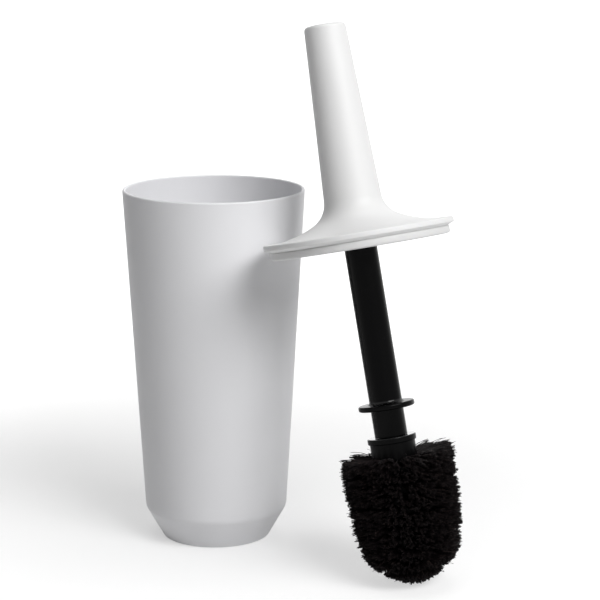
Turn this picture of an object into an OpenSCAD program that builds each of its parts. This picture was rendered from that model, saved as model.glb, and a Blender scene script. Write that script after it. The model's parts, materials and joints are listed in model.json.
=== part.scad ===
// Toilet brush holder: an open canister with its brush lifted out and leaning on the wall.
// Millimetres, +Z up. The origin is the centre of the canister's underside.

/* [Canister] */
// Height of the canister, foot pad included
canister_h = 257.2; // [240:0.2:275]
// Outer radius of the rim
rim_r = 65.5; // [60:0.5:70]
// Outer radius at the crease above the foot
crease_r = 51.7; // [47:0.1:55]
// Height of the crease above the floor
crease_z = 22.6; // [18:0.1:30]
// Outer radius of the underside
base_r = 39; // [34:0.1:42]
// Radius that softens the crease
crease_round = 10; // [6:0.5:14]
// Radius that softens the edge of the underside
base_round = 1.6; // [0.8:0.1:2.4]
// Wall thickness
wall = 2.5; // [2:0.1:3.5]
// Thickness of the bottom
floor_t = 2.4; // [2:0.1:4]

/* [Foot pad] */
// Radius of the non-slip pad
pad_r = 32; // [26:0.5:33]
// Thickness of the pad
pad_t = 1.6; // [1:0.1:2.4]
// How far the pad stands out of the underside
pad_proud = 0.4; // [0.2:0.1:0.8]

/* [Lid] */
// How far the lid reaches past the rim
lid_overhang = 0.3; // [0:0.1:2]
// Height of the upright band on the lid's edge
edge_h = 2.4; // [1.6:0.1:3.2]
// Width of the chamfer under the lid's edge
edge_chamfer = 3.9; // [3:0.1:5]
// Height of the chamfer under the lid's edge
edge_drop = 1.9; // [1.2:0.1:3]
// Radius that softens the lid's upper edge
edge_round = 1.2; // [0.6:0.1:1.5]
// Thickness of the lid and grip wall
shell_t = 2.6; // [2:0.1:3.2]
// Radial clearance of the plug in the mouth
plug_clearance = 0.8; // [0.3:0.1:1.2]
// Height of the plug ring below the seam
plug_h = 5; // [4:0.1:8]
// Height of the seam between lid and plug
seam_h = 0.5; // [0.4:0.1:1.2]
// Thickness of the plug's plate and ring
plug_t = 2.2; // [1.6:0.1:3]
// Radius that softens the plug's lower edge
plug_round = 1.6; // [0.6:0.1:2]

/* [Grip] */
// Height of the grip above the lid's edge
grip_h = 144.8; // [125:0.2:165]
// Radius of the grip at its top
grip_top_r = 14.4; // [13:0.1:16]
// Taper of the grip's side, in degrees
grip_taper = 2.6; // [2:0.1:3.2]
// Radius that softens the grip's top edge
grip_round = 3; // [1:0.1:4]
// Thickness of the grip's closed top
grip_cap_t = 4; // [3:0.1:6]
// Radius of the upper arc of the flare
flare_r = 18; // [15:0.5:21]
// Radius of the lower arc of the flare
skirt_r = 70; // [64:1:76]
// Slope at which the upper arc meets the lower one
flare_slope = 28; // [25:1:31]
// Slope of the lid at its edge
lid_slope = 3; // [1:0.5:5]

/* [Stem] */
// Radius of the stem
stem_r = 11.3; // [10:0.1:12]
// Wall thickness of the hollow stem
stem_wall = 2.3; // [1.8:0.1:3]
// Length of the stem inside the grip, above the lid's edge
stem_inside = 50; // [40:1:62]
// Radius of the drip disc
disc_r = 19.4; // [16:0.1:24]
// Thickness of the drip disc
disc_t = 3.7; // [2.6:0.1:5]
// Gap between the drip disc and the brush head
disc_gap = 19.2; // [12:0.1:30]
// Radius of the threaded spigot at the stem's end
spigot_r = 8.4; // [7.6:0.1:9]
// Length of the spigot
spigot_h = 12.6; // [9:0.1:15]
// Wall of the stem socket inside the grip
socket_t = 1.8; // [1.4:0.1:2.2]
// Radius of the socket's foot on the plug plate
socket_foot = 22; // [18:0.5:26]
// Number of ribs on the socket
rib_n = 6; // [4:1:8]
// Thickness of a rib
rib_t = 1.8; // [1.2:0.1:2.6]

/* [Brush head] */
// Gap between the bristle tips and the canister's bottom when stored
tip_gap = 13.3; // [8:0.1:20]
// Radius of the collar
collar_r = 16.8; // [15.9:0.1:19]
// Height of the collar
collar_h = 4.2; // [3:0.1:6]
// Radius that softens the collar's edges
collar_round = 0.7; // [0.3:0.1:1.2]
// Radius of the neck under the collar
neck_r = 15.6; // [14:0.1:16.6]
// Height of the neck
neck_h = 11.4; // [8:0.1:14]
// Radius of the tufted core
core_r = 12.5; // [12:0.1:13.5]
// Distance between rows of tufts
row_pitch = 7.1; // [6.9:0.1:8]
// Number of rows round the straight core
straight_rows = 9; // [7:1:10]
// Number of tufts in a full row
row_n = 12; // [9:1:12]
// Radius to which the bristles are trimmed
trim_r = 39.6; // [36:0.1:42]
// How much the trim closes in over the lower rows
trim_taper = 4.4; // [2:0.1:5]
// How far the bristles lie over to one side of the core
trim_shift = 1.4; // [0:0.1:2.5]
// Side to which the bristles lie over, from the first tuft of the top row
trim_way = 225; // [0:1:360]
// Reach of the end tufts from the middle of the rounded end
tip_reach = 23.3; // [22:0.1:25]
// How squarely the trim turns in from the sides to the end
trim_squareness = 1.45; // [1.3:0.05:2]
// Radius of a tuft at its root
tuft_root_r = 1.65; // [1.2:0.05:1.7]
// Radius of a tuft at its tip
tuft_tip_r = 5.8; // [4.5:0.1:5.9]
// Depth of the tuft holes
hole_depth = 4; // [3:0.1:4]
// How far the top row's tufts reach up over the neck
collar_lap = 2; // [0:0.1:4]
// Width of a tuft anchor, across its hole
anchor_w = 2.8; // [2:0.1:3.1]
// Thickness of a tuft anchor
anchor_t = 0.4; // [0.2:0.1:0.6]
// Height of a tuft anchor
anchor_h = 0.6; // [0.4:0.1:1]

/* [Leaning brush] */
// Lean of the brush from upright
lean = 13.4; // [10:0.1:16]
// Direction that the grip leans towards, from +X
lean_dir = 132; // [120:1:145]
// Side of the canister on which the brush stands, from +X
stand_dir = -39.7; // [-50:0.1:-30]
// Turn of the brush about its own axis
spin = 7; // [0:1:30]
// Clearance between the lid's edge and the canister wall
lean_gap = 0.3; // [0.2:0.1:1]
// Clearance between the bristle tips and the floor
floor_gap = 0.2; // [0.1:0.1:1]

/* [Fits] */
// Radial clearance of the threaded spigot in the head
thread_clearance = 0.05; // [0.02:0.01:0.1]
// Clearance between the stem's shoulder and the head's collar
shoulder_gap = 0.3; // [0.2:0.1:0.5]
// Clearance of glued and snapped pieces in their seats
seat_clearance = 0.15; // [0.1:0.05:0.3]

/* [Hidden] */
$fn = 96;
eps = 0.01;
arc_steps = 12;

// Canister
rim_round = wall / 2;
rim_base = canister_h - rim_round;
bevel_angle = atan((crease_r - base_r) / (crease_z - pad_proud));
wall_angle = atan((rim_r - crease_r) / (rim_base - crease_z));
floor_top = pad_t + floor_t;

// Lid, plug and grip, in the brush's own frame: z = 0 is the lid's widest circle
lid_r = rim_r + lid_overhang;
plug_r = rim_r - wall - plug_clearance;
lid_under = -edge_h / 2 - edge_drop;
plug_top = lid_under - seam_h;
plug_bottom = plug_top - plug_h;
spigot_top = plug_top + 2.4 * seam_h;
recess_r = lid_r - edge_chamfer - plug_t;
lid_top = edge_h / 2 + edge_round;
flare_z = lid_top + skirt_r * (cos(lid_slope) - cos(flare_slope))
    + flare_r * (cos(flare_slope) - sin(grip_taper));
grip_foot_r = grip_top_r + (grip_h - flare_z) * tan(grip_taper);
flare_c = [grip_foot_r + flare_r * cos(grip_taper), flare_z + flare_r * sin(grip_taper)];
skirt_c = flare_c + (skirt_r - flare_r) * [sin(flare_slope), cos(flare_slope)];

// Brush reach: the lid's seat on the rim puts the tips tip_gap above the canister's bottom
reach = canister_h - floor_top - tip_gap - lid_under;
end_mid = tip_reach - reach;
first_row = end_mid + row_pitch * (straight_rows - 0.5);
core_top = first_row + tuft_tip_r - collar_lap;
neck_top = core_top + neck_h;
head_top = neck_top + collar_h;
stem_end = head_top + shoulder_gap;
spigot_end = stem_end - spigot_h;
disc_bottom = head_top + disc_gap;
socket_r = stem_r + seat_clearance + socket_t;
socket_top = stem_inside + seat_clearance + socket_t;

// Rows of tufts: [height of the fan's centre, slope below level, reach, count, tip radius, offset]
dome_slopes = [18, 42, 66, 90];
dome_counts = [row_n, row_n - 2, 5, 1];
dome_shares = [1, 0.92, 0.8, 0.8];
function trimmed(k) = trim_r - trim_taper * pow(k / (straight_rows - 1), 2);
function dome_reach(slope) = pow(
    pow(cos(slope) / trimmed(straight_rows - 1), trim_squareness)
    + pow(sin(slope) / tip_reach, trim_squareness), -1 / trim_squareness);
straight = [for (k = [0 : straight_rows - 1])
    [first_row - k * row_pitch, 0, trimmed(k), row_n, tuft_tip_r * trimmed(k) / trim_r,
     (k % 2) * 180 / row_n]];
dome = [for (k = [0 : len(dome_slopes) - 1])
    [end_mid, dome_slopes[k], dome_reach(dome_slopes[k]), dome_counts[k],
     tuft_tip_r * dome_shares[k], ((straight_rows + k) % 2) * 180 / dome_counts[k]]];
rows = concat(straight, dome);
hole_r = tuft_root_r + thread_clearance;
hole_bottom = core_r - hole_depth;
tuft_bottom = hole_bottom + anchor_h + 3 * thread_clearance;

// Length of each tuft of a row: the trim is a circle that lies to one side of the core
function tuft_reach(row, i) =
    row[2] + trim_shift * cos(row[1]) * cos(row[5] + i * 360 / row[3] - trim_way);

// Where the leaning brush stands
lean_up = [sin(lean) * cos(lean_dir), sin(lean) * sin(lean_dir), cos(lean)];
level = [-sin(lean_dir), cos(lean_dir), 0];
steep = cross(level, lean_up);
stand_out = [cos(stand_dir), sin(stand_dir), 0];
function tuft_way(row, i) =
    let (turn = spin + row[5] + i * 360 / row[3])
    cos(row[1]) * (cos(turn) * steep + sin(turn) * level) - sin(row[1]) * lean_up;
function tuft_low(row, i) =
    let (way = tuft_way(row, i), foot = row[0] * lean_up + tuft_reach(row, i) * way)
    foot.z - row[4] * sqrt(1 - way.z * way.z);
brush_z = floor_gap - min([for (row = rows, i = [0 : row[3] - 1]) tuft_low(row, i)]);
function wall_radius(z) = crease_r + (z - crease_z) * tan(wall_angle);
function edge_gap(centre) = min([for (a = [0 : 359], up = [-edge_h / 2, edge_h / 2])
    let (p = centre + lid_r * (cos(a) * level + sin(a) * steep) + up * lean_up)
    norm([p.x, p.y]) - wall_radius(p.z)]);
function stand_off(d, tries) =
    tries == 0 ? d : stand_off(d + lean_gap - edge_gap(d * stand_out + [0, 0, brush_z]), tries - 1);
brush_at = stand_off(2 * rim_r, 8) * stand_out + [0, 0, brush_z];

// Puts a piece drawn in the brush's own frame where the leaning brush stands
module brush() {
    translate(brush_at) rotate([0, lean, lean_dir]) rotate(spin) children();
}

// Points of an arc in a revolved outline
function arc(centre, r, from, to) =
    [for (i = [0 : arc_steps]) let (a = from + (to - from) * i / arc_steps) centre + r * [cos(a), sin(a)]];

// Centre of the arc that rounds a corner between two sides that face the angles from and to
function round_centre(point, r, from, to) =
    point - r * [cos(from) + cos(to), sin(from) + sin(to)] / (1 + cos(to - from));

function rounded(point, r, from, to) = arc(round_centre(point, r, from, to), r, from, to);

// Outline of the grip and lid, drawn in by an amount from the outer skin
function shell_outline(in) = concat(
    arc(flare_c, flare_r + in, 180 + grip_taper, 270 - flare_slope),
    arc(skirt_c, skirt_r + in, 270 - flare_slope, 270 - lid_slope)
);

module canister_outline() {
    crease_c = round_centre([crease_r, crease_z], crease_round, -bevel_angle, -wall_angle);
    floor_r = base_r + (floor_top - pad_proud) * tan(bevel_angle) - wall / cos(bevel_angle);
    polygon(concat(
        [[0, floor_top], [0, pad_proud]],
        rounded([base_r, pad_proud], base_round, -90, -bevel_angle),
        arc(crease_c, crease_round, -bevel_angle, -wall_angle),
        [[rim_r, rim_base], [rim_r - wall, rim_base]],
        arc(crease_c, crease_round - wall, -wall_angle, -bevel_angle),
        [[floor_r, floor_top]]
    ));
    translate([rim_r - rim_round, rim_base]) circle(r = rim_round, $fn = 48);
}

module canister_shell() {
    color("gainsboro")
    difference() {
        rotate_extrude($fn = 180) canister_outline();
        translate([0, 0, -eps]) cylinder(r = pad_r + seat_clearance, h = pad_t + eps);
    }
}

module foot_pad() {
    color("dimgray") cylinder(r = pad_r, h = pad_t);
}

// The grip, the flare and the lid in one section: outer skin downwards, then the hollow upwards
module shell_section() {
    inner = shell_outline(shell_t);
    top_in = grip_h - grip_cap_t;
    polygon(concat(
        [[0, grip_h]],
        rounded([grip_top_r, grip_h], grip_round, 90, 0),
        shell_outline(0),
        rounded([lid_r, lid_top], edge_round, 90, 0),
        [[lid_r, -edge_h / 2], [lid_r - edge_chamfer, lid_under], [recess_r, lid_under],
         [recess_r, inner[len(inner) - 1].y]],
        [for (i = [len(inner) - 1 : -1 : 0]) inner[i]],
        [[grip_top_r - shell_t, top_in], [0, top_in]]
    ));
}

module handle_shell() {
    color("white") brush() rotate_extrude($fn = 180) shell_section();
}

// Plate and ring that close the lid's underside and centre it in the mouth
module plug_outline() {
    spigot = recess_r - seat_clearance;
    hole = stem_r + seat_clearance;
    polygon(concat(
        [[hole, plug_bottom + plug_t], [hole, plug_bottom]],
        rounded([plug_r, plug_bottom], plug_round, -90, 0),
        [[plug_r, plug_top], [spigot, plug_top], [spigot, spigot_top],
         [spigot - plug_t, spigot_top], [spigot - plug_t, plug_bottom + plug_t]]
    ));
}

module lid_plug() {
    color("white") brush() rotate_extrude($fn = 180) plug_outline();
}

// Space inside the grip that the socket's ribs may fill
module grip_room() {
    outline = shell_outline(shell_t + seat_clearance);
    rotate_extrude($fn = 120) polygon(concat(
        [[0, plug_bottom + plug_t], [socket_foot, plug_bottom + plug_t],
         [socket_foot, outline[arc_steps].y]],
        [for (i = [arc_steps : -1 : 0]) [min(outline[i].x, socket_foot), outline[i].y]],
        [[grip_top_r - shell_t - seat_clearance, grip_h - grip_cap_t], [0, grip_h - grip_cap_t]]
    ));
}

module stem_socket() {
    foot = plug_bottom + plug_t + seat_clearance;
    color("whitesmoke") brush() difference() {
        union() {
            translate([0, 0, foot]) cylinder(r = socket_foot, h = plug_t);
            translate([0, 0, foot]) cylinder(r = socket_r, h = socket_top - foot);
            intersection() {
                for (i = [0 : rib_n - 1])
                    rotate(i * 360 / rib_n)
                        translate([0, -rib_t / 2, foot]) cube([socket_foot, rib_t, socket_top - foot]);
                grip_room();
            }
        }
        translate([0, 0, foot - eps])
            cylinder(r = stem_r + seat_clearance, h = stem_inside + seat_clearance - foot + eps);
    }
}

// Drip disc with a half-round edge
module disc_outline() {
    translate([stem_r - stem_wall, disc_bottom]) square([disc_r - disc_t / 2 - stem_r + stem_wall, disc_t]);
    translate([disc_r - disc_t / 2, disc_bottom + disc_t / 2]) circle(r = disc_t / 2, $fn = 48);
}

module stem() {
    color("#1b1b1c") brush() difference() {
        union() {
            translate([0, 0, stem_end]) cylinder(r = stem_r, h = stem_inside - stem_end);
            translate([0, 0, spigot_end]) cylinder(r = spigot_r, h = spigot_h + eps);
            rotate_extrude() disc_outline();
        }
        translate([0, 0, stem_end + 2 * stem_wall])
            cylinder(r = stem_r - stem_wall, h = stem_inside - stem_end);
    }
}

// Turns a shape drawn along +Z into the way of one tuft of a row
module tuft_place(row, i) {
    translate([0, 0, row[0]]) rotate([0, 90 + row[1], row[5] + i * 360 / row[3]]) children();
}

module each_tuft(row) {
    for (i = [0 : row[3] - 1]) tuft_place(row, i) children();
}

module core_outline() {
    intersection() {
        translate([0, end_mid]) circle(r = core_r, $fn = 96);
        translate([0, end_mid - core_r]) square([core_r, core_r]);
    }
    translate([0, end_mid]) square([core_r, core_top - end_mid]);
    translate([0, core_top]) square([neck_r, neck_top - core_top]);
    polygon(concat(
        [[0, neck_top]],
        rounded([collar_r, neck_top], collar_round, -90, 0),
        rounded([collar_r, head_top], collar_round, 0, 90),
        [[0, head_top]]
    ));
}

module head_core() {
    bore = spigot_h + shoulder_gap + 4 * thread_clearance;
    color("#1b1b1c") brush() difference() {
        rotate_extrude() core_outline();
        translate([0, 0, head_top - bore]) cylinder(r = spigot_r + thread_clearance, h = bore + eps);
        for (row = rows)
            each_tuft(row)
                translate([0, 0, hole_bottom]) cylinder(r = hole_r, h = hole_depth + hole_r, $fn = 24);
    }
}

// One tuft: its folded root in the hole, and its bristles spreading out
module tuft(row, i) {
    fan = tuft_reach(row, i) - core_r;
    translate([0, 0, tuft_bottom]) cylinder(r = tuft_root_r, h = core_r - tuft_bottom, $fn = 24);
    translate([0, 0, core_r]) cylinder(r1 = tuft_root_r, r2 = row[4], h = fan, $fn = 24);
}

module tuft_row(k) {
    row = rows[k];
    color("#111112") brush()
        for (i = [0 : row[3] - 1]) tuft_place(row, i) tuft(row, i);
}

module tuft_anchors() {
    color("goldenrod") brush()
        for (row = rows)
            each_tuft(row) translate([-anchor_w / 2, -anchor_t / 2, hole_bottom + thread_clearance])
                cube([anchor_w, anchor_t, anchor_h]);
}

canister_shell();
foot_pad();
handle_shell();
lid_plug();
stem_socket();
stem();
head_core();
for (k = [0 : len(rows) - 1])
    tuft_row(k);
tuft_anchors();
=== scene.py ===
import json
import math

import bmesh
import bpy
from mathutils import Matrix, Vector


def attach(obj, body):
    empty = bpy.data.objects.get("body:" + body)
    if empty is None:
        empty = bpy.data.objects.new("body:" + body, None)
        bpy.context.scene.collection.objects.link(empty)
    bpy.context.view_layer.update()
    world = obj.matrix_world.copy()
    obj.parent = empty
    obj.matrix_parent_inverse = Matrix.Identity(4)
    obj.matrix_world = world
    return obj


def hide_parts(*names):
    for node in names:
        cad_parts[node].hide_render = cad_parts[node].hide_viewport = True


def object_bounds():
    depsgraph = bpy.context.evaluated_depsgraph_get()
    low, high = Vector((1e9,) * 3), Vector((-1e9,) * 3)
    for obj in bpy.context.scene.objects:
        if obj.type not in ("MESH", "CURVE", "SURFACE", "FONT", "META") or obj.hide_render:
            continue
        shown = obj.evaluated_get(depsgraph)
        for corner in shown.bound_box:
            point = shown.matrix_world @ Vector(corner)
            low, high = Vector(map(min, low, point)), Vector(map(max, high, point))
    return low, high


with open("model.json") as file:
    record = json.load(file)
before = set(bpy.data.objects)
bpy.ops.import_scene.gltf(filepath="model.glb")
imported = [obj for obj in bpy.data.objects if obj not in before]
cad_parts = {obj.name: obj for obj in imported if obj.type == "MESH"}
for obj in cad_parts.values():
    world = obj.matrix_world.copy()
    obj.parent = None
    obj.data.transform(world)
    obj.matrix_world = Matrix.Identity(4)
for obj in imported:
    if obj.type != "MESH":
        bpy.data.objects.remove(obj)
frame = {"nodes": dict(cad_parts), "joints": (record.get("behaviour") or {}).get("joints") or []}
cad_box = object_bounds()

# ---------------------------------------------------------------- room
# The holder stands on a pale, seamless sweep of paper, seen from a little above its rim.
# The paper runs up behind it, and keeps the soft shadow round the foot and the bristles, with a painted shade
# in its glow round the holder. It is clear from its back, so that a view from far behind the holder still
# shows the holder.


class Wire:
    """A socket of a node tree, which can stand in sums with numbers and other sockets."""

    def __init__(self, tree, socket=None):
        self.tree, self.socket = tree, socket

    def node(self, kind, settings=(), inputs=(), out=0):
        made = self.tree.nodes.new(kind)
        for name, value in dict(settings).items():
            if name == "stops":
                ramp = made.color_ramp.elements
                while len(ramp) < len(value):
                    ramp.new(1)
                for stop, (place, colour) in zip(ramp, value):
                    stop.position, stop.color = place, colour
            else:
                setattr(made, name, value)
        for name, value in dict(inputs).items():
            if isinstance(value, Wire):
                self.tree.links.new(value.socket, made.inputs[name])
            else:
                made.inputs[name].default_value = value
        return Wire(self.tree, made.outputs[out])

    def maths(self, operation, *values):
        return self.node("ShaderNodeMath", {"operation": operation}, enumerate(values))

    def __add__(self, other):
        return self.maths("ADD", self, other)

    def __radd__(self, other):
        return self.maths("ADD", other, self)

    def __sub__(self, other):
        return self.maths("SUBTRACT", self, other)

    def __rsub__(self, other):
        return self.maths("SUBTRACT", other, self)

    def __mul__(self, other):
        return self.maths("MULTIPLY", self, other)

    def __rmul__(self, other):
        return self.maths("MULTIPLY", other, self)

    def __truediv__(self, other):
        return self.maths("DIVIDE", self, other)

    def __rtruediv__(self, other):
        return self.maths("DIVIDE", other, self)

    def __pow__(self, other):
        return self.maths("POWER", self, other)

    def clamped(self, low, high):
        return self.maths("MINIMUM", self.maths("MAXIMUM", self, low), high)


def new_material(name):
    """An empty material: its Wire to build on, and its Principled shader."""
    material = bpy.data.materials.new(name)
    material.use_nodes = True
    return material, Wire(material.node_tree), material.node_tree.nodes["Principled BSDF"]


scene = bpy.context.scene
scene.view_settings.view_transform = "Standard"

camera_down, camera_right = math.radians(11.912), math.radians(2.292)
camera_data = bpy.data.cameras.new("camera")
camera_data.lens = 131.1
camera = bpy.data.objects.new("camera", camera_data)
camera.location = (-0.0002, -1.551, 0.5023)
camera.rotation_euler = (math.pi / 2 - camera_down, 0, -camera_right)
scene.collection.objects.link(camera)
scene.camera = camera

sweep_half_width, sweep_front, sweep_back = 3.0, -2.6, 1.5
sweep_height, sweep_radius, sweep_steps = 2.6, 0.7, 16
sweep_line = [(sweep_front, 0.0)]
for step in range(sweep_steps + 1):
    a = math.pi / 2 * step / sweep_steps
    y = sweep_back - sweep_radius + sweep_radius * math.sin(a)
    sweep_line.append((y, sweep_radius * (1 - math.cos(a))))
sweep_line.append((sweep_back, sweep_height))
sweep_mesh = bpy.data.meshes.new("paper_sweep")
sweep_mesh.from_pydata(
    [(x, y, z) for y, z in sweep_line for x in (-sweep_half_width, sweep_half_width)],
    [],
    [(2 * i, 2 * i + 1, 2 * i + 3, 2 * i + 2) for i in range(len(sweep_line) - 1)],
)
sweep_mesh.polygons.foreach_set("use_smooth", [True] * len(sweep_mesh.polygons))
sweep = bpy.data.objects.new("paper_sweep", sweep_mesh)
scene.collection.objects.link(sweep)


def looks(wire):
    """Whether a surface is seen, also in a shine or through a clear piece, and whether straight."""
    kinds = ("Is Camera Ray", "Is Glossy Ray", "Is Transmission Ray")
    straight, shine, through = [wire.node("ShaderNodeLightPath", out=kind) for kind in kinds]
    return (straight + shine + through).clamped(0.0, 1.0), straight


paper_tone, paper_fibre_tone, paper_shadow_depth = 0.85, 0.02, 0.34
# The paper's glow is least round a point just behind the holder and grows with the distance from it, to white
# far off: a painted shade on the paper round the holder.
painted_shade_middle, glow_least, glow_slope, glow_curve = (0.02, 0.10, 0.0), 0.44, 0.3, 1.2
paper, wire, shader = new_material("paper_white")
looked_at, straight = looks(wire)
place = wire.node("ShaderNodeTexCoord", out=3)
fibres = wire.node("ShaderNodeTexNoise", {}, {"Vector": place, "Scale": 260.0})
off_middle = wire.node("ShaderNodeVectorMath", {"operation": "DISTANCE"}, {0: place, 1: painted_shade_middle}, out=1)
glow = (glow_least + glow_slope * off_middle + glow_curve * off_middle * off_middle).clamped(0.0, 1.0)
tone = paper_tone + paper_fibre_tone * fibres - paper_shadow_depth * looked_at
wire.tree.links.new(tone.socket, shader.inputs["Base Color"])
wire.tree.links.new((glow * looked_at).socket, shader.inputs["Emission Color"])
from_behind = wire.node("ShaderNodeNewGeometry", out="Backfacing") * straight
clear = wire.node("ShaderNodeBsdfTransparent")
opaque = Wire(wire.tree, shader.outputs[0])
front_or_clear = wire.node("ShaderNodeMixShader", {}, {0: from_behind, 1: opaque, 2: clear})
wire.tree.links.new(front_or_clear.socket, wire.tree.nodes["Material Output"].inputs["Surface"])
shader.inputs["Emission Strength"].default_value = 1.0
shader.inputs["Roughness"].default_value = 0.9
shader.inputs["Specular IOR Level"].default_value = 0.1
sweep_mesh.materials.append(paper)

world = bpy.data.worlds.new("studio")
scene.world = world
world.use_nodes = True
looked_at, _ = looks(Wire(world.node_tree))
background = world.node_tree.nodes["Background"]
background.inputs["Color"].default_value = (1, 1, 1, 1)
world.node_tree.links.new(looked_at.socket, background.inputs["Strength"])


def lamp(name, place, aim, width, height, power):
    data = bpy.data.lights.new(name, "AREA")
    data.shape, data.size, data.size_y, data.energy = "RECTANGLE", width, height, power
    made = bpy.data.objects.new(name, data)
    made.location = place
    made.rotation_euler = (Vector(aim) - Vector(place)).to_track_quat("-Z", "Y").to_euler()
    scene.collection.objects.link(made)
    return made


middle = (0.05, -0.05, 0.17)
lamp("key", (1.054, -1.657, 2.065), middle, 0.9, 0.9, 20.0)
lamp("key_front", (0.943, -2.056, 1.707), middle, 0.9, 0.9, 16.4)
lamp("key_side", (1.732, -1.461, 1.707), middle, 0.9, 0.9, 19.0)
lamp("overhead", (0.05, -0.05, 2.5), middle, 1.6, 1.6, 15.0)

# ---------------------------------------------------------------- canister
# A tapered cup moulded in one piece from light grey plastic, with a fine matt grain.
# It narrows to a bevelled foot, and its rim is rounded over so that the lid can sit on it.

mm = 0.001


def arc(centre, r, start, end, steps=12):
    """Points (radius, height) along an arc in a turned outline; the angles are in degrees."""
    turns = [math.radians(start + (end - start) * i / steps) for i in range(steps + 1)]
    return [(centre[0] + r * math.cos(a), centre[1] + r * math.sin(a)) for a in turns]


def rounded(corner, r, start, end, steps=12):
    """An arc that rounds a corner between two sides that face the angles start and end."""
    a, b = math.radians(start), math.radians(end)
    reach = r / (1 + math.cos(b - a))
    centre_r = corner[0] - reach * (math.cos(a) + math.cos(b))
    centre_z = corner[1] - reach * (math.sin(a) + math.sin(b))
    return arc((centre_r, centre_z), r, start, end, steps)


def turned(name, outline, material, place=None, sides=176):
    """A solid turned from a closed outline of (radius, height) points in millimetres."""
    bm = bmesh.new()
    rings = []
    for i in range(sides):
        a = 2 * math.pi * i / sides
        rings.append([bm.verts.new((r * mm * math.cos(a), r * mm * math.sin(a), z * mm)) for r, z in outline])
    for i in range(sides):
        here, after = rings[i - 1], rings[i]
        for j in range(len(outline)):
            bm.faces.new((here[j - 1], after[j - 1], after[j], here[j]))
    bmesh.ops.remove_doubles(bm, verts=bm.verts, dist=1e-6)
    bmesh.ops.dissolve_degenerate(bm, edges=bm.edges, dist=1e-6)
    bmesh.ops.recalc_face_normals(bm, faces=bm.faces)
    bm.transform(place or Matrix())
    mesh = bpy.data.meshes.new(name)
    bm.to_mesh(mesh)
    bm.free()
    mesh.polygons.foreach_set("use_smooth", [True] * len(mesh.polygons))
    mesh.set_sharp_from_angle(angle=math.radians(32))
    mesh.materials.append(material)
    made = bpy.data.objects.new(name, mesh)
    scene.collection.objects.link(made)
    return made


def moulded(name, colour, roughness, grain, depth, mottle):
    """Moulded plastic: a fine grain in the surface and a faint mottle in the colour and the shine."""
    material, wire, shader = new_material(name)
    place = wire.node("ShaderNodeTexCoord", out=3)
    fine = wire.node("ShaderNodeTexNoise", {}, {"Vector": place, "Scale": grain, "Detail": 3.0})
    broad = wire.node("ShaderNodeTexNoise", {}, {"Vector": place, "Scale": 14.0, "Detail": 4.0})
    low, high = [tuple(c * k for c in colour) + (1,) for k in (1 - mottle, 1 + mottle)]
    tint = wire.node("ShaderNodeValToRGB", {"stops": [(0.3, low), (0.7, high)]}, {"Fac": broad})
    rough = roughness + (broad - 0.5) * 0.16 + (fine - 0.5) * 0.1
    relief = wire.node("ShaderNodeBump", {}, {"Height": fine, "Strength": depth, "Distance": 0.0002})
    wire.tree.links.new(tint.socket, shader.inputs["Base Color"])
    wire.tree.links.new(rough.socket, shader.inputs["Roughness"])
    wire.tree.links.new(relief.socket, shader.inputs["Normal"])
    return material, wire, shader


canister_grey, wire, shader = moulded("canister_grey", (0.815, 0.815, 0.833), 0.5, 2600.0, 0.25, 0.012)
# The inside of the cup is painted paler than the outside: painted light on the inner walls, where the faces
# turn towards the axis.
painted_inside_light = 0.18
place, facing = wire.node("ShaderNodeTexCoord", out=3), wire.node("ShaderNodeTexCoord", out=1)
outward = wire.node(
    "ShaderNodeVectorMath", {"operation": "MULTIPLY_ADD"}, {0: place, 1: (1, 1, 0), 2: (0, 0, -0.01)}
)
faces_out = wire.node("ShaderNodeVectorMath", {"operation": "DOT_PRODUCT"}, {0: outward, 1: facing}, out=1)
inside = faces_out.maths("LESS_THAN", faces_out, 0.0)
tint = Wire(wire.tree, shader.inputs["Base Color"].links[0].from_socket)
tint_with_painted_light = wire.node("ShaderNodeVectorMath", {"operation": "SCALE"}, {0: tint, 3: 1.0 + painted_inside_light * inside})
wire.tree.links.new(tint_with_painted_light.socket, shader.inputs["Base Color"])

canister_height, rim_radius, canister_wall = 257.2, 65.5, 2.5
crease_radius, crease_height, crease_round = 51.7, 22.6, 10.0
foot_radius, foot_height, foot_round, canister_floor = 39.0, 0.4, 1.6, 4.0
pad_radius, pad_height = 32.0, 1.6
rim_round = canister_wall / 2
rim_foot = canister_height - rim_round
bevel = math.degrees(math.atan((crease_radius - foot_radius) / (crease_height - foot_height)))
flare = math.degrees(math.atan((rim_radius - crease_radius) / (rim_foot - crease_height)))
crease_outer = rounded((crease_radius, crease_height), crease_round, -bevel, -flare)
crease_centre_r = crease_outer[0][0] - crease_round * math.cos(math.radians(bevel))
crease_centre_z = crease_outer[0][1] + crease_round * math.sin(math.radians(bevel))
floor_radius = (
    foot_radius
    + (canister_floor - foot_height) * math.tan(math.radians(bevel))
    - canister_wall / math.cos(math.radians(bevel))
)
recess_radius = pad_radius + 0.15
canister_outline = (
    [(0, canister_floor), (0, pad_height), (recess_radius, pad_height), (recess_radius, foot_height)]
    + rounded((foot_radius, foot_height), foot_round, -90, -bevel, 8)
    + crease_outer
    + arc((rim_radius - rim_round, rim_foot), rim_round, 0, 180)
    + arc((crease_centre_r, crease_centre_z), crease_round - canister_wall, -flare, -bevel)
    + rounded((floor_radius, canister_floor), 2.0, 180 - bevel, 90, 6)
)
canister = turned("canister", canister_outline, canister_grey)
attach(canister, "canister")
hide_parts("canister_shell")

# ---------------------------------------------------------------- foot pad
# A round of dark foam rubber, stuck into a shallow recess under the canister.
# It stands a little proud of the plastic, so that the holder doesn't slide.

pad_rubber, _, _ = moulded("pad_rubber", (0.03, 0.03, 0.032), 0.85, 900.0, 0.6, 0.05)
for spot in frame["nodes"]["foot_pad"].material_slots:
    spot.material = pad_rubber

# ---------------------------------------------------------------- grip and lid
# One hollow moulding in matt white: a tapered grip that flares like a trumpet into the lid.
# The lid's edge has a soft upper corner, a narrow upright band and a chamfer below.

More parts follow.
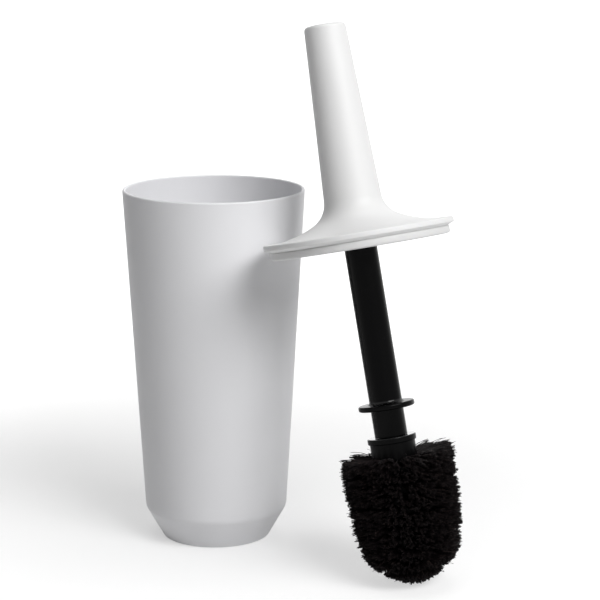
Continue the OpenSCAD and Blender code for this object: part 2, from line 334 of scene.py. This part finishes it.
hinge = next(joint for joint in frame["joints"] if joint["name"] == "head_unscrew")
brush_up = -Vector(hinge["axis"]).normalized()
shoulder_height = -139.65
lean = math.acos(brush_up.z)
lean_way = math.atan2(brush_up.y, brush_up.x)
brush_spin = math.radians(7)
brush_place = (
    Matrix.Translation(Vector(hinge["pos_m"]) - brush_up * shoulder_height * mm)
    @ Matrix.Rotation(lean_way, 4, "Z")
    @ Matrix.Rotation(lean, 4, "Y")
    @ Matrix.Rotation(brush_spin, 4, "Z")
)

handle_white, _, _ = moulded("handle_white", (0.83, 0.83, 0.828), 0.48, 2600.0, 0.22, 0.01)

grip_height, grip_top_radius, grip_taper, grip_round, grip_cap = 144.8, 14.4, 2.6, 3.0, 4.0
flare_radius, skirt_radius, flare_slope, lid_slope = 18.0, 70.0, 28.0, 3.0
lid_radius, lid_band, lid_round, shell_wall = 65.8, 2.4, 1.2, 2.6
lid_chamfer, lid_drop = 3.9, 1.9
plug_wall = 2.2
lid_top = lid_band / 2 + lid_round
lid_under = -lid_band / 2 - lid_drop
lid_slant = -90 + math.degrees(math.atan(lid_drop / lid_chamfer))
lid_recess = lid_radius - lid_chamfer - plug_wall


def cos_d(a):
    return math.cos(math.radians(a))


def sin_d(a):
    return math.sin(math.radians(a))


flare_height = (
    lid_top
    + skirt_radius * (cos_d(lid_slope) - cos_d(flare_slope))
    + flare_radius * (cos_d(flare_slope) - sin_d(grip_taper))
)
grip_foot_radius = grip_top_radius + (grip_height - flare_height) * math.tan(math.radians(grip_taper))
flare_centre = (
    grip_foot_radius + flare_radius * cos_d(grip_taper),
    flare_height + flare_radius * sin_d(grip_taper),
)
skirt_centre = (
    flare_centre[0] + (skirt_radius - flare_radius) * sin_d(flare_slope),
    flare_centre[1] + (skirt_radius - flare_radius) * cos_d(flare_slope),
)


def trumpet(inward):
    """The flare and the skirt, drawn in from the outer skin."""
    return arc(flare_centre, flare_radius + inward, 180 + grip_taper, 270 - flare_slope, 24) + arc(
        skirt_centre, skirt_radius + inward, 270 - flare_slope, 270 - lid_slope, 24
    )


hollow = trumpet(shell_wall)
handle_outline = (
    [(0, grip_height)]
    + rounded((grip_top_radius, grip_height), grip_round, 90, 0, 10)
    + trumpet(0)
    + rounded((lid_radius, lid_top), lid_round, 90, 0, 8)
    + rounded((lid_radius, -lid_band / 2), 0.8, 0, lid_slant, 6)
    + rounded((lid_radius - lid_chamfer, lid_under), 0.4, lid_slant, -90, 3)
    + [(lid_recess, lid_under), (lid_recess, hollow[-1][1])]
    + hollow[::-1]
    + [(grip_top_radius - shell_wall, grip_height - grip_cap), (0, grip_height - grip_cap)]
)
handle = turned("grip_and_lid", handle_outline, handle_white, brush_place)
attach(handle, "brush")
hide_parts("handle_shell")

# ---------------------------------------------------------------- lid plug
# A shallow white dish, snapped into the lid's underside. Its ring centres the lid in the
# canister's mouth, and a thin dark seam runs round between the two mouldings.

plug_clearance, plug_height, seam, plug_round, seat = 0.8, 5.0, 0.5, 1.6, 0.15
plug_radius = rim_radius - canister_wall - plug_clearance
plug_top = lid_under - seam
plug_bottom = plug_top - plug_height
stem_radius = 11.3
plug_spigot, plug_hole = lid_recess - seat, stem_radius + seat
seam_depth, seam_foot, spigot_top = 0.6, plug_top + 0.9 * seam, plug_top + 2.4 * seam
plug_outline = (
    [(plug_hole, plug_bottom + plug_wall)]
    + rounded((plug_hole, plug_bottom), 0.4, 180, 270, 4)
    + rounded((plug_radius, plug_bottom), plug_round, -90, 0, 10)
    + rounded((plug_radius, plug_top), 0.3, 0, 90, 4)
    + [(plug_radius - seam_depth, plug_top), (plug_radius - seam_depth, seam_foot)]
    + [(plug_spigot, seam_foot), (plug_spigot, spigot_top)]
    + [(plug_spigot - plug_wall, spigot_top), (plug_spigot - plug_wall, plug_bottom + plug_wall)]
)
# The plug's white is made greyer than the lid's white: a painted shade, standing for the shade that the lid's
# overhang casts on the ring.
plug_painted_shade, _, _ = moulded("plug_painted_shade", (0.73, 0.73, 0.728), 0.48, 2600.0, 0.22, 0.01)
plug = turned("lid_plug_ring", plug_outline, plug_painted_shade, brush_place)
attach(plug, "brush")
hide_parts("lid_plug")

# ---------------------------------------------------------------- stem socket
# A ribbed sleeve inside the hollow grip, plain moulded plastic. The stem is pressed into it,
# and its foot lies on the plug.

socket_plain, _, _ = moulded("socket_plain", (0.70, 0.70, 0.68), 0.6, 1200.0, 0.3, 0.02)
for spot in frame["nodes"]["stem_socket"].material_slots:
    spot.material = socket_plain

# ---------------------------------------------------------------- stem
# A hollow rod of black polypropylene with a drip disc moulded on it, which keeps water off
# the grip. The stem is turned smooth but for a bright fillet on the disc. A spigot takes the head.

stem_inside, stem_wall, disc_radius, disc_height, disc_bottom = 50.0, 2.3, 19.4, 3.7, -120.75


def polished(wire, shader, low, high, shine):
    """Two mould edges meet here, and the plastic is bright between these heights up the brush."""
    place = wire.node("ShaderNodeTexCoord", out=3)
    up = wire.node("ShaderNodeVectorMath", {"operation": "DOT_PRODUCT"}, {0: place, 1: brush_up}, out=1)
    off_middle = (up - brush_up.dot(brush_place.translation)) / mm - (low + high) / 2
    bright = (2.0 - off_middle.maths("ABSOLUTE", off_middle) * 4.0 / (high - low)).clamped(0.0, 1.0) * shine
    wire.tree.links.new(bright.socket, shader.inputs["Coat Weight"])
    shader.inputs["Coat Roughness"].default_value = 0.08
    shader.inputs["Specular IOR Level"].default_value = 0.06


stem_black, wire, shader = moulded("stem_black", (0.0006, 0.0006, 0.0007), 0.2, 1500.0, 0.12, 0.1)
polished(wire, shader, disc_bottom + disc_height + 0.5, disc_bottom + disc_height + 2.3, 0.3)
spigot_radius, spigot_height = 8.4, 12.6
bore_radius = stem_radius - stem_wall
stem_outline = (
    [(0, shoulder_height + 2 * stem_wall), (0, shoulder_height - spigot_height)]
    + [(spigot_radius, shoulder_height - spigot_height), (spigot_radius, shoulder_height)]
    + [(stem_radius, shoulder_height)]
    + rounded((stem_radius, disc_bottom), 0.6, 180, 90, 5)
    + rounded((disc_radius, disc_bottom), 1.2, -90, 0, 8)
    + rounded((disc_radius, disc_bottom + disc_height), 1.2, 0, 90, 8)
    + rounded((stem_radius, disc_bottom + disc_height), 2.4, 270, 180, 8)
    + [(stem_radius, stem_inside), (bore_radius, stem_inside), (bore_radius, shoulder_height + 2 * stem_wall)]
)
stem = turned("stem_with_disc", stem_outline, stem_black, brush_place, 96)
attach(stem, "brush")
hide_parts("stem")

# ---------------------------------------------------------------- brush head core
# The bored core that the tufts are fixed in, with a neck and a collar at its top. The same
# black plastic as the stem; the stem's spigot screws into it.

core_black, wire, shader = moulded("core_black", (0.0012, 0.0012, 0.0013), 0.3, 1500.0, 0.12, 0.1)
polished(wire, shader, shoulder_height - 0.8, shoulder_height + 0.4, 1.0)
for spot in frame["nodes"]["head_core"].material_slots:
    spot.material = core_black

# ---------------------------------------------------------------- bristles
# Tufts of crimped black polypropylene, folded into bored holes and trimmed on a lathe to one
# outline. They splay into clumps, and a few bristles escape the trim round the neck.

bristle_black, wire, shader = new_material("bristle_black")
shade = wire.node("ShaderNodeAttribute", {"attribute_name": "shade"}, out=2)
along = wire.node("ShaderNodeTexCoord", out=3)
dust = wire.node("ShaderNodeTexNoise", {}, {"Vector": along, "Scale": 420.0, "Detail": 2.0})
bristle_blacks = [
    (0.0, (0.0040, 0.0028, 0.0032, 1)),
    (0.85, (0.0098, 0.0070, 0.0074, 1)),
    (1.0, (0.075, 0.056, 0.052, 1)),
]
fade = (shade * 0.8 + dust * 0.3).clamped(0.0, 1.0)
tint = wire.node("ShaderNodeValToRGB", {"stops": bristle_blacks}, {"Fac": fade})
wire.tree.links.new(tint.socket, shader.inputs["Base Color"])
wire.tree.links.new((0.42 + 0.2 * dust).socket, shader.inputs["Roughness"])
shader.inputs["Specular IOR Level"].default_value = 0.13

core_radius, tuft_hole_radius, tuft_hole_depth = 12.5, 1.5, 3.4
row_pitch, straight_rows, first_row, end_middle = 7.1, 9, -159.35, -219.7
side_radius, side_taper, end_reach, squareness = 39.6, 4.4, 24.8, 1.45
trim_shift, trim_way = 1.4, math.radians(225)

row_inputs = {
    "Tufts": ("NodeSocketInt", 12),
    "Bristles in a tuft": ("NodeSocketInt", 300),
    "Clumps in a tuft": ("NodeSocketInt", 34),
    "Row height": ("NodeSocketFloat", 0.0),
    "Slope": ("NodeSocketFloat", 0.0),
    "Turn": ("NodeSocketFloat", 0.0),
    "Reach": ("NodeSocketFloat", 0.038),
    "Spread across": ("NodeSocketFloat", 0.0102),
    "Spread up": ("NodeSocketFloat", 0.0042),
    "Lift": ("NodeSocketFloat", 0.0),
    "Arch": ("NodeSocketFloat", 0.0),
    "Trim shift": ("NodeSocketVector", (0.0, 0.0, 0.0)),
    "Floor way": ("NodeSocketVector", (0.0, 0.0, -1.0)),
    "Floor distance": ("NodeSocketFloat", 0.24),
    "Bristle radius": ("NodeSocketFloat", 0.00018),
    "Crimp": ("NodeSocketFloat", 0.0005),
    "Bend": ("NodeSocketFloat", 0.0011),
    "Overhang": ("NodeSocketFloat", 0.0033),
    "Ragged": ("NodeSocketFloat", 0.0022),
    "Uneven tufts": ("NodeSocketFloat", 0.0006),
    "Uneven clumps": ("NodeSocketFloat", 0.0042),
    "Strays": ("NodeSocketFloat", 0.01),
    "Seed": ("NodeSocketInt", 1),
    "Material": ("NodeSocketMaterial", None),
}
row_tree = bpy.data.node_groups.new("row_of_tufts", "GeometryNodeTree")
row_tree.interface.new_socket("Geometry", in_out="INPUT", socket_type="NodeSocketGeometry")
row_tree.interface.new_socket("Geometry", in_out="OUTPUT", socket_type="NodeSocketGeometry")
for title, (kind, value) in row_inputs.items():
    socket = row_tree.interface.new_socket(title, in_out="INPUT", socket_type=kind)
    if value is not None:
        socket.default_value = value

wire = Wire(row_tree)
given = {title: wire.node("NodeGroupInput", out=title) for title in row_inputs}


def chance(low, high, salt, key):
    """A random number between low and high that stays the same for one key."""
    values = {2: low, 3: high, 7: key, 8: given["Seed"] + salt}
    return wire.node("FunctionNodeRandomValue", {"data_type": "FLOAT"}, values, out=1)


def in_oval(across, up, salt, key):
    """A random point in an oval, as two distances."""
    r = chance(0.0, 1.0, salt, key) ** 0.5
    a = chance(0.0, 2 * math.pi, salt + 1, key)
    return r * across * a.maths("COSINE", a), r * up * a.maths("SINE", a)


def vector(x, y, z):
    return wire.node("ShaderNodeCombineXYZ", {}, {0: x, 1: y, 2: z})


def vectors(operation, *values, out=0):
    return wire.node("ShaderNodeVectorMath", {"operation": operation}, enumerate(values), out)


def scaled(v, k):
    return wire.node("ShaderNodeVectorMath", {"operation": "SCALE"}, {0: v, 3: k})


def parts(v):
    return [wire.node("ShaderNodeSeparateXYZ", {}, {0: v}, out=i) for i in range(3)]


index = wire.node("GeometryNodeInputIndex")
tuft = (index / given["Bristles in a tuft"]).maths("FLOOR", index / given["Bristles in a tuft"])
clump = tuft * given["Clumps in a tuft"] + index.maths("MODULO", index, given["Clumps in a tuft"])
turn = vector(0.0, given["Slope"], given["Turn"] + tuft * 2 * math.pi / given["Tufts"])
centre = vector(0.0, 0.0, given["Row height"])


def from_tuft(x, y, z):
    """A point given along, across and up a tuft, in the brush's own frame."""
    values = {"Vector": vector(x, y, z), "Rotation": turn}
    turned_point = wire.node("ShaderNodeVectorRotate", {"rotation_type": "EULER_XYZ"}, values)
    return vectors("ADD", turned_point, centre)


root_depth = (core_radius - tuft_hole_depth) * mm
tuft_stray, own_spread, stray_spread = 0.001, 0.0008, 0.0034
clump_dome, stray_least, stray_most = 1.2, 0.001, 0.005
lot = given["Strays"] - chance(0.0, 1.0, 40, index)
stray = lot.maths("GREATER_THAN", lot, 0.0)
root_y, root_z = in_oval(tuft_hole_radius * mm, tuft_hole_radius * mm, 10, index)
tuft_y, tuft_z = in_oval(tuft_stray, tuft_stray, 24, tuft)
clump_y, clump_z = in_oval(given["Spread across"], given["Spread up"], 20, clump)
own = own_spread + stray_spread * stray
own_y, own_z = in_oval(own, own, 30, index)
off_clump = (own_y * own_y + own_z * own_z) ** 0.5
root = from_tuft(root_depth, root_y, root_z)
aim = from_tuft(given["Reach"], tuft_y + clump_y + own_y, tuft_z + clump_z + own_z + given["Lift"])
way = vectors("NORMALIZE", vectors("SUBTRACT", aim, root))

length = given["Reach"] - root_depth
for step in range(3):
    tip = vectors("ADD", root, scaled(way, length))
    x, y, z = parts(vectors("SUBTRACT", tip, given["Trim shift"]))
    down = ((first_row * mm - z) / (row_pitch * (straight_rows - 1) * mm)).clamped(0.0, 1.0)
    side = side_radius * mm - side_taper * mm * down * down
    out_share = (x * x + y * y) ** 0.5 / side
    end_share = (end_middle * mm - z).clamped(0.0, 1.0) / (end_reach * mm)
    share = (out_share**squareness + end_share**squareness) ** (1 / squareness)
    far = vectors("LENGTH", vectors("SUBTRACT", tip, vector(0.0, 0.0, end_middle * mm)), out=1)
    stride = given["Reach"] if step == 0 else far.maths("MINIMUM", far, given["Reach"])
    length = length + stride * (1.0 / share - 1.0)
length = length + given["Overhang"] - off_clump * clump_dome
length = length - chance(0.0, 1.0, 41, index) * given["Ragged"]
length = length - chance(0.0, 1.0, 22, clump) ** 0.5 * given["Uneven clumps"]
length = length - chance(0.0, 1.0, 26, tuft) * given["Uneven tufts"]
length = length + stray * chance(stray_least, stray_most, 42, index)

spots = wire.node("GeometryNodePoints", {}, {0: given["Tufts"] * given["Bristles in a tuft"], 1: root})
line = wire.node("GeometryNodeCurvePrimitiveLine", {}, {0: (0, 0, 0), 1: (0, 0, 1)})
line = wire.node("GeometryNodeResampleCurve", {}, {0: line, "Count": 7})
straight = wire.node(
    "GeometryNodeInstanceOnPoints",
    {},
    {
        "Points": spots,
        "Instance": line,
        "Rotation": wire.node("FunctionNodeAlignRotationToVector", {"axis": "Z"}, {"Vector": way}),
        "Scale": vector(1.0, 1.0, length),
    },
)
strands = wire.node("GeometryNodeRealizeInstances", {}, {0: straight})
strand = wire.node("GeometryNodeCurveOfPoint", out=0)
knot = wire.node("GeometryNodeCurveOfPoint", out=1)
along_strand = wire.node("GeometryNodeSplineParameter")
bow = along_strand * (1.0 - along_strand) * 4.0
bent = vector(*[chance(-1.0, 1.0, 50 + i, strand) * bow * given["Bend"] for i in range(3)])
arched = vector(0.0, 0.0, bow * given["Arch"])
zigzag = (knot.maths("MODULO", knot, 2.0) - 0.5) * given["Crimp"] * along_strand ** 0.5
crimped = vector(*[chance(-1.0, 1.0, 60 + i, strand) * zigzag for i in range(3)])
sway = vectors("ADD", vectors("ADD", bent, crimped), arched)
strands = wire.node("GeometryNodeSetPosition", {}, {0: strands, "Offset": sway})
floor_way = given["Floor way"]
below = vectors("DOT_PRODUCT", wire.node("GeometryNodeInputPosition"), floor_way, out=1)
below = below - given["Floor distance"] + given["Bristle radius"]
below = below.maths("MAXIMUM", below, 0.0)
tangent = wire.node("GeometryNodeInputTangent")
level = scaled(floor_way, vectors("DOT_PRODUCT", tangent, floor_way, out=1))
slide = 2.0
slid = scaled(vectors("SUBTRACT", tangent, level), below * slide)
pressed = vectors("SUBTRACT", slid, scaled(floor_way, below))
strands = wire.node("GeometryNodeSetPosition", {}, {0: strands, "Offset": pressed})
strands = wire.node(
    "GeometryNodeStoreNamedAttribute",
    {"data_type": "FLOAT", "domain": "POINT"},
    {0: strands, "Name": "shade", "Value": chance(0.0, 1.0, 70, strand)},
)
ring_sizes = {"Resolution": 3, "Radius": given["Bristle radius"]}
ring = wire.node("GeometryNodeCurvePrimitiveCircle", {"mode": "RADIUS"}, ring_sizes)
solid = wire.node("GeometryNodeCurveToMesh", {}, {"Curve": strands, "Profile Curve": ring, "Fill Caps": True})
solid = wire.node("GeometryNodeRealizeInstances", {}, {0: solid})
solid = wire.node("GeometryNodeSetMaterial", {}, {0: solid, "Material": given["Material"]})
row_tree.links.new(solid.socket, row_tree.nodes.new("NodeGroupOutput").inputs[0])
socket_of = {item.name: item.identifier for item in row_tree.interface.items_tree if item.in_out == "INPUT"}

tuft_rows = [
    {
        "Tufts": 12,
        "Row height": (first_row - k * row_pitch) * mm,
        "Turn": math.radians(15 * (k % 2)),
        "Reach": (side_radius - side_taper * (k / (straight_rows - 1)) ** 2) * mm,
    }
    for k in range(straight_rows)
]
tuft_rows[0].update({"Bristles in a tuft": 360, "Spread up": 0.0066, "Strays": 0.09})
tuft_rows[0].update({"Lift": 0.0016, "Arch": 0.0018})
tuft_rows[-1].update({"Lift": -0.0012, "Spread up": 0.0060, "Overhang": 0.0025})
last_side = side_radius - side_taper
end_rows = [(18, 12, 6.8, 0.5), (42, 10, 4.4, -1.0), (66, 5, 6.0, 0.0), (90, 1, 7.8, 0.0)]
for k, (slope, tufts, spread, lift) in enumerate(end_rows):
    a = math.radians(slope)
    across, down = (math.cos(a) / last_side) ** squareness, (math.sin(a) / end_reach) ** squareness
    reach = (across + down) ** (-1 / squareness)
    tuft_rows.append(
        {
            "Tufts": tufts,
            "Row height": end_middle * mm,
            "Slope": a,
            "Turn": math.pi / tufts * ((straight_rows + k) % 2),
            "Reach": reach * mm,
            "Spread across": 0.0078,
            "Spread up": spread * mm,
            "Lift": lift * mm,
            "Overhang": 0.001,
            "Ragged": 0.0006,
            "Uneven tufts": 0.0003,
            "Uneven clumps": 0.0018,
        }
    )

floor_way = brush_place.inverted().to_3x3() @ Vector((0, 0, -1))
shared = {
    "Trim shift": [trim_shift * math.cos(trim_way) * mm, trim_shift * math.sin(trim_way) * mm, 0.0],
    "Floor way": list(floor_way),
    "Floor distance": brush_place.translation.z,
    "Material": bristle_black,
}
# A bristle that would reach out of the solids' box ends at it.
low, high = [Vector(corner) for corner in cad_box]
skin = 0.0001
for k, sizes in enumerate(tuft_rows):
    blank = bpy.data.meshes.new("blank")
    grower = bpy.data.objects.new("grower", blank)
    scene.collection.objects.link(grower)
    modifier = grower.modifiers.new("tufts", "NODES")
    modifier.node_group = row_tree
    for title, value in {**sizes, **shared, "Seed": 11 + k}.items():
        modifier[socket_of[title]] = value
    grown = grower.evaluated_get(bpy.context.evaluated_depsgraph_get())
    mesh = bpy.data.meshes.new_from_object(grown)
    bpy.data.objects.remove(grower)
    mesh.name = f"bristles_{k + 1}"
    mesh.transform(brush_place)
    for vertex in mesh.vertices:
        vertex.co = [min(max(c, a + skin), b - skin) for c, a, b in zip(vertex.co, low, high)]
    tufts = bpy.data.objects.new(f"bristles_{k + 1}", mesh)
    scene.collection.objects.link(tufts)
    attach(tufts, "head")
    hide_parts(f"tuft_row_{k + 1}")

# ---------------------------------------------------------------- tuft anchors
# A small brass plate holds each tuft down in its hole.

anchor_brass, _, shader = moulded("anchor_brass", (0.72, 0.52, 0.23), 0.35, 2200.0, 0.2, 0.06)
shader.inputs["Metallic"].default_value = 1.0
for spot in frame["nodes"]["tuft_anchors"].material_slots:
    spot.material = anchor_brass
